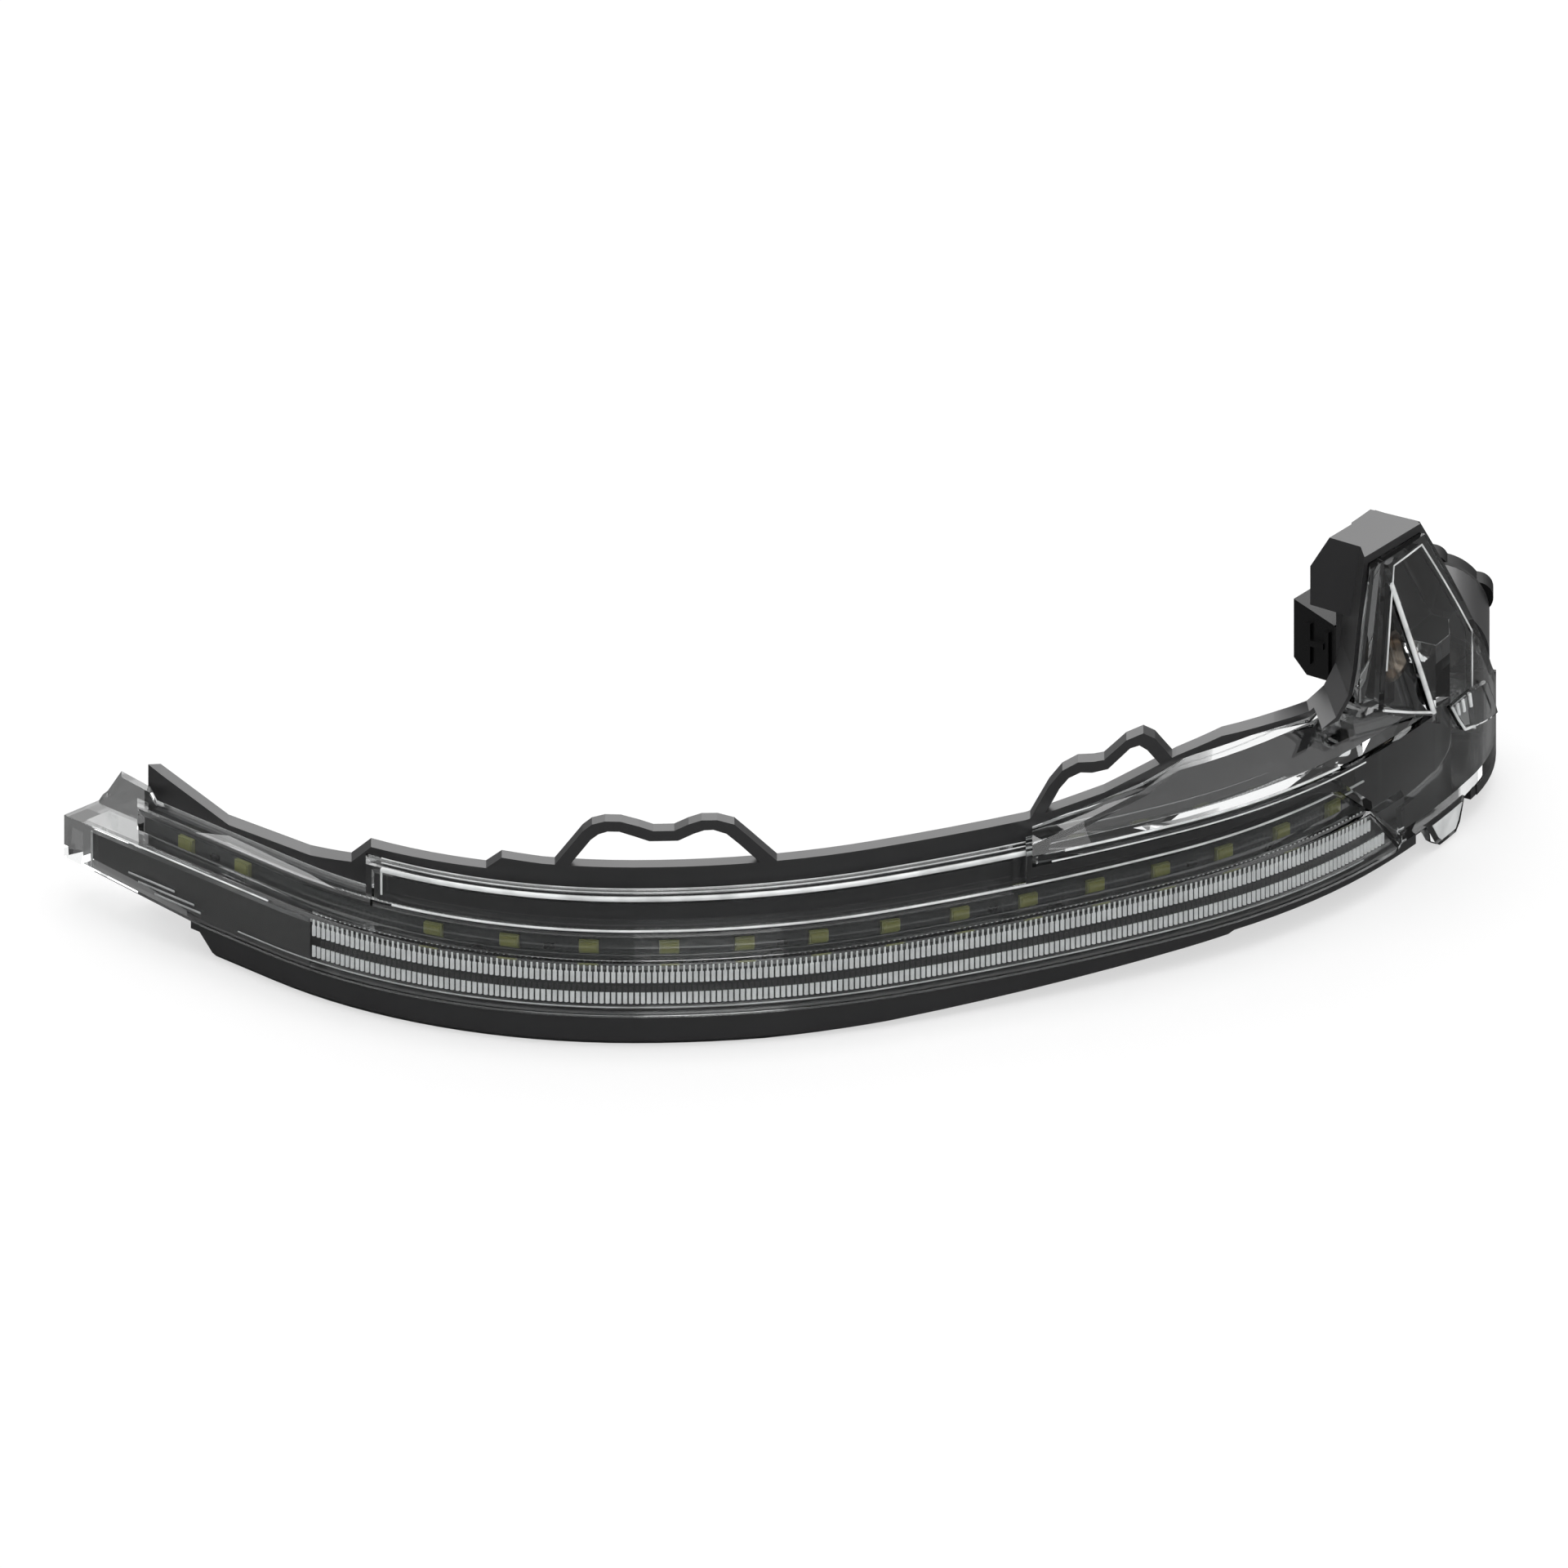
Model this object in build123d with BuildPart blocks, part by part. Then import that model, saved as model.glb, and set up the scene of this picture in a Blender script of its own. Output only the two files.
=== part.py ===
from build123d import *

import os
from math import cos, hypot, radians, sin

os.makedirs("parts", exist_ok=True)

# Turn signal lamp of an outside mirror. The origin is on the flat underside of the skirt, at the
# foremost point of the lamp's plan curve. +X runs along the lamp towards its leg, +Y goes back.

# Plan curve of the lens face, from left to right: a straight run, then arcs as (radius, degrees)
plan_arcs = ((80, 45), (110, 21.5), (300, 9.5), (100, 24), (150, 11), (41, 24))
view_depth = 140  # reach of the cuts made in the front view
top_of_all = 70

# Distances back from the lens face, called insets, of the walls that follow the plan curve
leg_inset = 1.0
window_inset = 4.2
upper_inset = 5.2
rear_inset = 8.4
rear_wall = 2.7
lens_wall = 1.6
shelf_wall = 0.8  # of the step between the bar and the window
seam_gap = 0.05
fit_gap = 0.1

# Straight run at the left end and past the last arc at the right end
lens_lead = 43.3
lens_end_wall = 3.3
housing_lead = 33.5
lens_tail = 2.2
housing_tail = 4.2

# Heights
skirt_front = 1.2
skirt_wall = 2.4
skirt_chamfer = 0.8
floor_top = 5.2
floor_wall = 1.8
bar_top = 14.3
window_top = 17.9
upper_top = 23.1
rim_top = 26.7
cut_past = 1.0  # how far a cut runs past the face that it opens
ridge_height = 22.3
ridge_bead = 1.9
slope_rise = 12.0  # of the flare's face, for the run back
slope_run = 13.0
leg_top = 54.8
leg_margin = 1.5
leg_side_margin = 0.9
lip_inset = 2.4
recess_depth = 2.0
clip_proud = 0.9

# Left and right ends of the lens's steps in the front view
window_ends = (-76.0, 112.0)
upper_ends = (-41.0, 63.0)
flare_left = 60.0
flare_lap = 2.0  # of the hollow under the flare into the one under the upper block
ridge_room = 1.0  # of that hollow above the ridge's lower edge

# Light guide behind the lens bar
guide_inset = 2.2
guide_depth = 2.2
guide_web = 1.0
tooth_pitch = 0.9
tooth_depth = 0.5
guide_rows = ((6.9, 8.7), (10.4, 12.4))
guide_left = -49.0
guide_start = -54.0
guide_teeth = 214
rear_steps = 96
rear_pitch = 2.0
guide_low = 5.8
guide_high = 12.4
bezel_wall = 1.4
bezel_gap = 1.0

# Light strip
board_thick = 1.0
board_gap = 0.2
board_low = 8.8
board_high = 16.0
board_lead = 31.0
board_right = 110.0
led_width = 3.0
led_height = 2.8
led_thick = 0.7
led_cap = 0.15
led_middle = 13.85
led_start = 5.4
led_pitch_left = 12.2
led_pitch_right = 11.5
leds_left = (7, 6, 3, 2, 1)  # pitches to the left of the start that carry a chip
leds_right = 10
screw_radius = 0.8
screw_head_radius = 1.5
screw_head = 0.9
screw_depth = 1.6
screw_low = 10.6
screw_spots = (-70.0, -24.0, 22.0, 68.0, 108.0)
carrier_lip = 1.2
led_rim = 0.5
resistor_size = (1.6, 0.5, 0.8)
jumper_left = 107.8
jumper_width = 2.0
jumper_lap = 2.0
jumper_rise = 4.7  # above the ridge
jumper_thick = 0.2

# Boxes behind the leg, in the leg's own directions: along the plan curve, and back from its face
leg_heading = 55.0
screen_heading = 60.0
edge_heading = 9.0
leg_spot = (115.3, 55.2)
edge_spot = (113.0, 51.4)
box_along = (4.4, 15.0)
box_back = 12.6
box_low = 23.0
box_high = 46.0
box_wall = 1.4
head_along = (0.2, 12.4)
head_back = 14.5
head_low = 44.0
head_shoulder = 50.5
head_slope_back = 10.9
reflector_along = 10.2
reflector_drop = 0.5  # from the middle of the box
reflector_front = 3.6
reflector_rear = 2.3
reflector_wall = 0.7
reflector_mouth = 6.6
chip_side = 4.0
chip_thick = 1.0
chip_gap = 0.7
vent_along = 6.3
vent_height = 47.2
vent_radius = 2.6
vent_thick = 0.4
leg_board_thick = 0.8

# Connector on the box
socket_along = (5.1, 14.5)
socket_back = 21.0
socket_low = 29.2
socket_high = 41.4
socket_fall = 2.8
socket_wall = 1.0
socket_roof = 4.9
socket_seal = 0.8
socket_chamfer = 2.4
pin_count = 3
pin_width = 0.8
pin_pitch = 2.2
pin_reach = 4.0

# Bulb holder behind the knee
holder_x = 122.4
holder_z = 24.0
holder_radius = 9.6
holder_lobe = 2.6
holder_lobes = 5
holder_flange = 4.0
holder_turn = 20.0
holder_neck = 5.0
bulb_seat = 3.0
pod_radius = 8.6
bore_radius = 6.3
pod_front = 88.0
pod_rear = 103.0
bulb_radius = 3.4
bulb_length = 14.0
bulb_room = 2.5  # in front of the pod, for the bulb's tip
holder_seal_thick = 1.0

# Screw lug under the right end
lug_distance = 127.0
lug_inset = 14.5
lug_reach = 5.6
lug_front = 20.0
lug_radius = 5.0
bush_radius = 2.9
bush_bore = 2.1

skirt_seat = skirt_front + (skirt_wall + skirt_chamfer) / 2
face_y = -skirt_seat
rear_back = rear_inset + rear_wall
floor_low = floor_top - floor_wall
board_inset = rear_inset - board_gap - board_thick
ridge_top = ridge_height + ridge_bead
shoulder = ridge_height + 7.1  # where the flare meets the leg
reflector_height = (box_low + box_high) / 2 - reflector_drop
chip_height = reflector_height + reflector_front + reflector_wall + chip_gap + chip_side / 2
first_radius, first_turn = plan_arcs[0]


def plan_edges(inset, lead, tail):
    """The plan curve moved back by an inset, drawn into the open line from left to right."""
    radius = first_radius - inset
    away = Vector(-cos(radians(first_turn)), sin(radians(first_turn)))
    bend = Vector(-radius * away.Y, face_y + first_radius + radius * away.X)
    path = [Line(bend + away * lead, bend)]
    for arc_radius, turn in plan_arcs:
        path.append(JernArc(path[-1] @ 1, path[-1] % 1, arc_radius - inset, turn))
    end = path[-1] @ 1
    path.append(Line(end, end + (path[-1] % 1) * tail))
    return path


def front_view(*points):
    """A closed outline seen from the front, as a sketch that stands behind the lamp."""
    with BuildSketch(Plane.XZ.offset(-view_depth)) as outline:
        with BuildLine():
            Polyline(*points, close=True)
        make_face()
    return outline.sketch


def leg_view(*points):
    """A closed outline seen square on to the leg's face, which the plan curve turns to the right."""
    with BuildSketch(leg_screen.offset(-view_depth)) as outline:
        with BuildLine():
            Polyline(*points, close=True)
        make_face()
    return outline.sketch


def widened(points, margin):
    """The same closed outline with each side moved out by a margin, for points in clockwise order."""
    corners = [Vector(*point) for point in points]
    moved = []
    for before, corner, after in zip(corners[-1:] + corners[:-1], corners, corners[1:] + corners[:1]):
        arrive = (corner - before).normalized()
        leave = (after - corner).normalized()
        out_in = Vector(-arrive.Y, arrive.X)
        out_on = Vector(-leave.Y, leave.X)
        moved.append(corner + (out_in + out_on) * (margin / (1 + out_in.dot(out_on))))
    return [(corner.X, corner.Y) for corner in moved]


def band(left, right, low, high):
    """An upright rectangle in the front view."""
    return front_view((left, low), (right, low), (right, high), (left, high))


def follow(near, far, outline, lead=lens_lead, tail=lens_tail):
    """A wall between two insets that follows the plan curve inside a front outline."""
    with BuildPart() as wall:
        with BuildSketch(Plane.XY.offset(-top_of_all)):
            with BuildLine():
                front = plan_edges(near, lead, tail)
                rear = plan_edges(far, lead, tail)
                Line(front[0] @ 0, rear[0] @ 0)
                Line(front[-1] @ 1, rear[-1] @ 1)
            make_face()
        extrude(amount=2 * top_of_all)
        extrude(outline, amount=2 * view_depth, mode=Mode.INTERSECT)
    return wall.part


def leaning(low_inset, low, high_inset, high):
    """A block behind a slope that follows the plan curve and leans back as it rises."""
    with BuildPart() as block:
        for inset, height in ((low_inset, low), (high_inset, high)):
            with BuildSketch(Plane.XY.offset(height)):
                with BuildLine():
                    front = plan_edges(inset, lens_lead, housing_tail)
                    rear = plan_edges(deep_inset, lens_lead, housing_tail)
                    Line(front[0] @ 0, rear[0] @ 0)
                    Line(front[-1] @ 1, rear[-1] @ 1)
                make_face()
        loft(ruled=True)
    return block.part


def places(inset, distances, height):
    """Planes on the plan curve at distances from its apex: X along the lamp, Y back, Z up."""
    with BuildLine() as curve:
        plan_edges(inset, lens_lead, lens_tail)
    wire = curve.wire()
    start = lens_lead + (first_radius - inset) * radians(first_turn)
    found = []
    for distance in distances:
        spot = wire.position_at(start + distance, position_mode=PositionMode.LENGTH)
        heading = wire.tangent_at(start + distance, position_mode=PositionMode.LENGTH)
        found.append(Plane((spot.X, spot.Y, height), x_dir=heading, z_dir=(0, 0, 1)))
    return found


def leg_box(along_range, back_range, height_range):
    """A box in the leg's directions: along the plan curve, back from the face, and up."""
    low = (along_range[0], back_range[0], height_range[0])
    high = (along_range[1], back_range[1], height_range[1])
    middle = [(a + b) / 2 for a, b in zip(low, high)]
    block = Box(*[b - a for a, b in zip(low, high)], mode=Mode.PRIVATE)
    return leg_plane * Pos(*middle) * block


def leg_profile(along_range, *points):
    """A bar along the leg's run with an outline of (back, height) points."""
    start = Plane(
        leg_plane.from_local_coords((along_range[0], 0, 0)), x_dir=leg_plane.y_dir, z_dir=leg_plane.x_dir
    )
    with BuildPart() as bar:
        with BuildSketch(start):
            with BuildLine():
                Polyline(*points, close=True)
            make_face()
        extrude(amount=along_range[1] - along_range[0])
    return bar.part


def leg_form(near, far, margin, side_margin, tail=lens_tail):
    """The leg between two insets, with its outline and its drafted left side moved out by margins."""
    with BuildPart() as form:
        add(follow(near, far, leg_view(*widened(leg_points, margin)), tail=tail))
        with BuildSketch(edge_screen.offset(-view_depth)):
            with BuildLine():
                Polyline(*widened(beside_leg_points, -side_margin), close=True)
            make_face()
        extrude(amount=2 * view_depth, mode=Mode.SUBTRACT)
    return form.part


def leg_face(distance, back, height, sign):
    """A plane square on to the leg, that faces out for a sign of 1 and back for a sign of -1."""
    spot = leg_plane.from_local_coords((distance, back, height))
    return Plane(spot, x_dir=leg_plane.x_dir * sign, z_dir=leg_plane.y_dir * -sign)


leg_plane = Plane((*leg_spot, 0), z_dir=(0, 0, 1)).rotated((0, 0, leg_heading))
screen_angle = radians(screen_heading)
leg_screen = Plane(
    (*leg_spot, 0),
    x_dir=(cos(screen_angle), sin(screen_angle), 0),
    z_dir=(sin(screen_angle), -cos(screen_angle), 0),
)

edge_angle = radians(edge_heading)
edge_screen = Plane(
    (*edge_spot, 0),
    x_dir=(cos(edge_angle), sin(edge_angle), 0),
    z_dir=(sin(edge_angle), -cos(edge_angle), 0),
)

far_left = -100.0
far_right = 140.0
deep_inset = 39.0
beside_leg = -80.0  # on the leg's screen
past_leg = 60.0
above_leg = leg_top + 20.0
above_flare = shoulder + 6.6

# Outlines in the front view
flare_points = (
    (61, ridge_height), (61, shoulder - 4.0), (70, shoulder - 2.4), (78, shoulder - 0.8),
    (84, shoulder + 1.4), (91, shoulder + 2.0), (98, shoulder + 1.2), (106, shoulder), (116, shoulder),
    (116, ridge_height),
)
leg_points = (
    (-1.1, floor_top), (-2.9, 14.0), (-10.3, 20.0), (-19.0, ridge_height), (-19.0, shoulder),
    (-12.0, shoulder), (-12.0, leg_top), (12.4, leg_top), (37.4, 22.1), (46.9, 13.0), (past_leg, 13.0),
    (past_leg, floor_top),
)
beside_leg_points = (
    (-60, shoulder), (-60, above_leg), (2.4, above_leg), (0.1, leg_top), (-1.9, shoulder + 8.6),
    (-2.8, shoulder + 4.6), (-5.3, shoulder + 1.6), (-10.4, shoulder),
)
clip_points = ((19.2, 22.9), (26.2, 22.9), (32.5, 21.6), (38.4, 13.7), (23.6, 17.2))
flare_outline = front_view(*flare_points)
inner_flare_outline = front_view(*widened(flare_points, -lens_wall))
clip_outline = leg_view(*clip_points)
bar_outline = front_view(
    (far_left, 8.6), (-66, floor_top), (117.2, floor_top), (117.6, 6.5), (112.8, bar_top),
    (far_left, bar_top),
)
inner_bar_outline = front_view(
    (far_left, 9.6), (-66, floor_top - 1), (116.6, floor_top - 1), (111.9, bar_top - shelf_wall),
    (far_left, bar_top - shelf_wall),
)
rim_outline = front_view(
    (far_left, floor_low), (far_left, 34), (-72.4, 22.5), (-62, 18.8), (-49.5, 19.5),
    (-43.2, 20.9), (-40.2, 24.4), (-22.6, 24.9), (-20.2, 27.0), (-14, rim_top), (60, rim_top),
    (72, shoulder - 1.0), (83, shoulder + 2.2), (90, shoulder + 3.2), (98, shoulder + 2.2),
    (106, shoulder + 0.9), (114, shoulder + 0.9), (114, floor_low),
)
tab_outline = leg_view(
    (12.4, floor_top + 0.4), (15.4, 1.5), (17.0, 0.4), (22.4, 0.4), (23.8, 1.6), (25.6, floor_top + 0.4),
)
skirt_outline = front_view(
    (-67.8, floor_top), (-63.9, 0), (20, 0), (91, 3.0), (96, floor_top),
)
bow_one = front_view(
    (-12.6, 26.0), (-7.8, 32.6), (-6.4, 33.8), (-4.4, 34.4), (-2.0, 34.4), (0.8, 33.6), (3.0, 32.8),
    (6.2, 32.8), (8.4, 33.8), (10.4, 34.4), (12.8, 34.3), (15.4, 33.4), (17.8, 31.0), (22.6, 26.0),
    (20.0, 26.0), (16.2, 30.0), (14.2, 31.9), (12.2, 32.7), (10.8, 32.7), (9.2, 32.2),
    (6.8, 31.1), (2.4, 31.1), (0.2, 31.9), (-2.2, 32.7), (-4.0, 32.7), (-5.4, 32.2),
    (-6.6, 31.2), (-10.4, 26.0),
)
bow_two = front_view(
    (60.2, 26.0), (63.6, 31.6), (65.6, 33.7), (68.0, 34.5), (70.4, 34.0), (72.0, 33.9), (75.4, 36.3),
    (78.0, 36.8), (79.8, 35.4), (84.0, 29.0), (81.8, 29.0), (78.6, 33.8), (77.4, 34.9), (76.0, 34.8),
    (72.6, 32.2), (70.2, 32.2), (68.4, 32.7), (66.6, 32.2), (65.2, 30.8), (62.4, 26.0),
)
tip_outline = front_view(
    (-82.6, bar_top - cut_past), (-80.5, 16), (-78.4, 20.3), (-74.0, 19.7), (-71, bar_top),
)
recess_points = ((2.4, leg_top - 4.4), (15.0, ridge_height + 1.1), (0.6, shoulder + 0.2))
recess_outline = leg_view(*recess_points)
lip_cut = leg_view(
    (beside_leg, 0), (beside_leg, shoulder + 1.6), (5, shoulder + 1.6), (5, 0),
)
knee_border = leg_view(
    (30, floor_low), (30, 21), (past_leg, 12), (past_leg, floor_low),
)
lens_seat = leg_view(
    (beside_leg, floor_top), (beside_leg, above_leg), (past_leg, above_leg), (past_leg, floor_top),
)
tab_slot = leg_view(
    (10, -cut_past), (10, floor_top + cut_past), (28, floor_top + cut_past), (28, -cut_past),
)

# The flare's sloping face: what is cut away above it, and the skin that stays under it
slope_outline = leg_view(
    (beside_leg, ridge_top), (14.8, ridge_top - 1.2), (-0.4, shoulder + 0.8), (-5.2, shoulder + 1.2),
    (-5.2, above_flare), (beside_leg, above_flare),
)
skin_outline = front_view(
    (59, ridge_height), (59, shoulder + 4.6), (124, shoulder + 4.6), (124, ridge_height),
)
skin_cut = leg_view(
    (16.8, ridge_height - 2.3), (16.8, above_leg), (-3.6, above_leg), (-3.6, shoulder + 2.8),
    (0.4, shoulder + 2.4),
)
slope_drop = lens_wall * hypot(slope_rise, slope_run) / slope_run

with BuildPart() as slope_cut:
    add(follow(0, deep_inset, slope_outline))
    add(leaning(leg_inset, ridge_top, leg_inset + slope_run, ridge_top + slope_rise),
        mode=Mode.SUBTRACT)

with BuildPart() as slope_skin:
    add(follow(0, deep_inset, skin_outline))
    add(leaning(leg_inset, ridge_top - slope_drop, leg_inset + slope_run,
                ridge_top + slope_rise - slope_drop), mode=Mode.SUBTRACT)
    add(follow(0, deep_inset, skin_cut), mode=Mode.SUBTRACT)

with BuildPart() as leg_hollow:
    add(leg_form(leg_inset + lens_wall, rear_inset, -lens_wall, -lens_wall, tail=lens_tail - lens_wall))
    add(follow(leg_inset + lens_wall, rear_inset, inner_flare_outline))
    recess_shell = leg_view(*widened(recess_points, lens_wall))
    add(follow(0, leg_inset + recess_depth + lens_wall, recess_shell), mode=Mode.SUBTRACT)

with BuildPart() as lens_hollow:
    inner_lead = lens_lead - lens_end_wall
    add(follow(lens_wall, rear_inset, inner_bar_outline, lead=inner_lead))
    add(follow(window_inset + lens_wall, rear_inset, band(
        window_ends[0] + lens_wall, window_ends[1], bar_top - 2 * lens_wall, window_top - lens_wall)))
    add(follow(upper_inset + lens_wall, rear_inset, band(
        upper_ends[0] + lens_wall, upper_ends[1] - lens_wall, bar_top, upper_top - lens_wall)))
    add(follow(window_inset + lens_wall, rear_inset, band(
        flare_left - flare_lap, window_ends[1], bar_top, ridge_height + ridge_room)))
    add(leg_hollow.part)
    add(slope_skin.part, mode=Mode.SUBTRACT)

with BuildPart() as bulb_space:
    with BuildSketch(Plane.XZ.offset(-pod_rear)):
        with Locations((holder_x, holder_z)):
            Circle(bore_radius)
    extrude(amount=pod_rear - pod_front + bulb_room)

with BuildPart() as outer_lens:
    lens_back = rear_inset - seam_gap
    add(follow(0, lens_back, bar_outline))
    add(follow(window_inset, lens_back, band(*window_ends, bar_top - lens_wall, window_top)))
    add(follow(window_inset, lens_back, band(
        flare_left, window_ends[1], bar_top - lens_wall, ridge_height + lens_wall)))
    add(follow(upper_inset, lens_back, band(*upper_ends, bar_top, upper_top)))
    add(follow(leg_inset, lens_back, flare_outline))
    add(leg_form(leg_inset, lens_back, 0, 0))
    add(follow(leg_inset - clip_proud, leg_inset, clip_outline))
    add(follow(lens_back - lens_wall, lens_back, tip_outline))
    add(slope_cut.part, mode=Mode.SUBTRACT)
    add(lens_hollow.part, mode=Mode.SUBTRACT)
    add(follow(0, leg_inset + recess_depth, recess_outline), mode=Mode.SUBTRACT)
    add(follow(leg_inset, leg_inset + lens_wall, tab_outline))
    add(bulb_space.part, mode=Mode.SUBTRACT)

outer_lens.part.label = "outer_lens"
export_step(outer_lens.part, "parts/outer_lens.step")

pins_along = [socket_along[0] + (socket_along[1] - socket_along[0]) / 2
              + (n - (pin_count - 1) / 2) * pin_pitch for n in range(pin_count)]
socket_middle = (sum(socket_along) / 2, (box_back + socket_seal + socket_back) / 2)
tail_middle = socket_high - (socket_roof + socket_fall) / 2
tail_heights = (tail_middle - pin_width / 2, tail_middle + pin_width / 2)
hollow_back = box_back - box_wall
leg_board_front = hollow_back - board_gap - leg_board_thick
pin_tail_backs = (leg_board_front + leg_board_thick, socket_middle[1] + pin_width / 2)
pin_blade_backs = (socket_middle[1] - pin_width / 2, socket_middle[1] + pin_width / 2)
blade_heights = (socket_high - socket_roof - pin_reach, tail_heights[1])
lug_plane = places(lug_inset, (lug_distance,), 0)[0]

with BuildPart() as box_hollow:
    add(leg_box((box_along[0] + box_wall, head_along[1] - box_wall), (leg_inset, hollow_back),
                (box_low + box_wall, head_shoulder)))
    add(leg_box((box_along[0] + box_wall, box_along[1] - box_wall), (leg_inset, hollow_back),
                (box_low + box_wall, box_high - box_wall)))
    add(leg_box((head_along[0] + box_wall, head_along[1] - box_wall),
                (rear_inset + box_wall, head_back - box_wall), (head_low + box_wall, head_shoulder)))

with BuildPart() as pin_passage:
    add(leg_box((pins_along[0] - pin_width, pins_along[-1] + pin_width), (leg_inset, socket_middle[1]),
                (tail_heights[0] - fit_gap, tail_heights[1] + fit_gap)))

with BuildPart() as leg_lip:
    add(leg_form(lip_inset, rear_inset, leg_margin, leg_side_margin))
    add(leg_form(0, rear_back, fit_gap, fit_gap), mode=Mode.SUBTRACT)
    add(follow(0, rear_back, lip_cut), mode=Mode.SUBTRACT)

with BuildPart() as board_screws:
    for spot in places(board_inset, screw_spots, screw_low):
        with BuildSketch(Plane(spot.origin, x_dir=spot.x_dir, z_dir=-spot.y_dir)):
            Circle(screw_head_radius)
        extrude(amount=screw_head)
        with BuildSketch(Plane(spot.origin, x_dir=spot.x_dir, z_dir=-spot.y_dir)):
            Circle(screw_radius)
        extrude(amount=-(board_thick + board_gap + screw_depth))

with BuildPart() as screw_holes:
    for spot in places(board_inset, screw_spots, screw_low):
        with BuildSketch(Plane(spot.origin, x_dir=spot.x_dir, z_dir=-spot.y_dir)):
            Circle(screw_radius + seam_gap)
        extrude(amount=-(board_thick + board_gap + screw_depth + fit_gap))

with BuildPart() as skirt:
    add(follow(skirt_front, skirt_front + skirt_wall, skirt_outline))
    add(follow(0, skirt_front + skirt_chamfer, band(far_left, far_right, -skirt_chamfer, skirt_chamfer)),
        mode=Mode.SUBTRACT)
    add(leaning(skirt_front + skirt_chamfer, 0, skirt_front, skirt_chamfer) & follow(
        0, skirt_front + skirt_chamfer, skirt_outline))

with BuildPart() as rear_housing:
    add(follow(rear_inset, rear_back, rim_outline, lead=housing_lead, tail=housing_tail))
    add(follow(skirt_front, rear_back, band(-67.8, far_right, floor_low, floor_top),
               lead=housing_lead, tail=housing_tail))
    add(skirt.part)
    add(follow(rear_inset, rear_back, bow_one))
    add(follow(rear_inset, rear_back, bow_two))
    add(leg_form(rear_inset, rear_back, leg_margin, leg_side_margin, tail=housing_tail))
    add(follow(leg_inset, rear_back, knee_border, tail=housing_tail))
    add(follow(0, rear_inset, lens_seat, tail=lens_tail + fit_gap), mode=Mode.SUBTRACT)
    add(leg_box(box_along, (rear_inset, box_back), (box_low, box_high)))
    add(leg_profile(
        head_along, (lip_inset, head_low), (lip_inset, leg_top + leg_margin),
        (head_slope_back, leg_top + leg_margin), (head_back, head_shoulder), (head_back, head_low)))
    with BuildSketch(Plane.XZ.offset(-pod_rear)):
        with Locations((holder_x, holder_z)):
            Circle(pod_radius)
    extrude(amount=pod_rear - pod_front)
    add(leg_form(0, rear_inset, fit_gap, fit_gap, tail=lens_tail + fit_gap), mode=Mode.SUBTRACT)
    add(leg_lip.part)
    with BuildSketch(lug_plane):
        Circle(lug_radius)
        with Locations((0, -lug_reach)):
            Rectangle(lug_front, skirt_wall)
        make_hull()
    extrude(amount=floor_top)
    add(box_hollow.part, mode=Mode.SUBTRACT)
    add(pin_passage.part, mode=Mode.SUBTRACT)
    add(screw_holes.part, mode=Mode.SUBTRACT)
    add(bulb_space.part, mode=Mode.SUBTRACT)
    add(follow(0, leg_inset + lens_wall + fit_gap, tab_slot), mode=Mode.SUBTRACT)
    with BuildSketch(lug_plane):
        Circle(bush_radius + seam_gap)
    extrude(amount=floor_top, mode=Mode.SUBTRACT)
rear_housing.part.label = "rear_housing"
export_step(rear_housing.part, "parts/rear_housing.step")

with BuildPart() as lug_bush:
    with BuildSketch(lug_plane):
        Circle(bush_radius)
        Circle(bush_bore, mode=Mode.SUBTRACT)
    extrude(amount=floor_top)
lug_bush.part.label = "lug_bush"
export_step(lug_bush.part, "parts/lug_bush.step")

with BuildPart() as strip_board:
    add(follow(board_inset, board_inset + board_thick, band(far_left, board_right, board_low, board_high),
               lead=board_lead))
    add(screw_holes.part, mode=Mode.SUBTRACT)
strip_board.part.label = "strip_board"
export_step(strip_board.part, "parts/strip_board.step")

board_screws.part.label = "board_screws"
export_step(board_screws.part, "parts/board_screws.step")

with BuildPart() as board_carrier:
    add(follow(board_inset - carrier_lip, rear_inset - board_gap,
               band(far_left, board_right, floor_top, board_low), lead=board_lead))
board_carrier.part.label = "board_carrier"
export_step(board_carrier.part, "parts/board_carrier.step")

led_spots = [led_start - n * led_pitch_left for n in leds_left]
led_spots += [led_start + n * led_pitch_right for n in range(leds_right + 1)]

with BuildPart() as strip_leds:
    with Locations(*places(board_inset, led_spots, led_middle)):
        with Locations((0, -led_thick / 2, 0)):
            Box(led_width, led_thick, led_height)
strip_leds.part.label = "strip_leds"
export_step(strip_leds.part, "parts/strip_leds.step")

with BuildPart() as strip_led_caps:
    with Locations(*places(board_inset, led_spots, led_middle)):
        with Locations((0, -led_thick - led_cap / 2, 0)):
            Box(led_width - led_rim, led_cap, led_height - led_rim)
strip_led_caps.part.label = "strip_led_caps"
export_step(strip_led_caps.part, "parts/strip_led_caps.step")

with BuildPart() as board_resistors:
    resistor_spots = [(a + b) / 2 for a, b in zip(led_spots[::3], led_spots[1::3])]
    with Locations(*places(board_inset, resistor_spots, led_middle)):
        with Locations((0, -resistor_size[1] / 2, 0)):
            Box(*resistor_size)
board_resistors.part.label = "board_resistors"
export_step(board_resistors.part, "parts/board_resistors.step")

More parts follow.
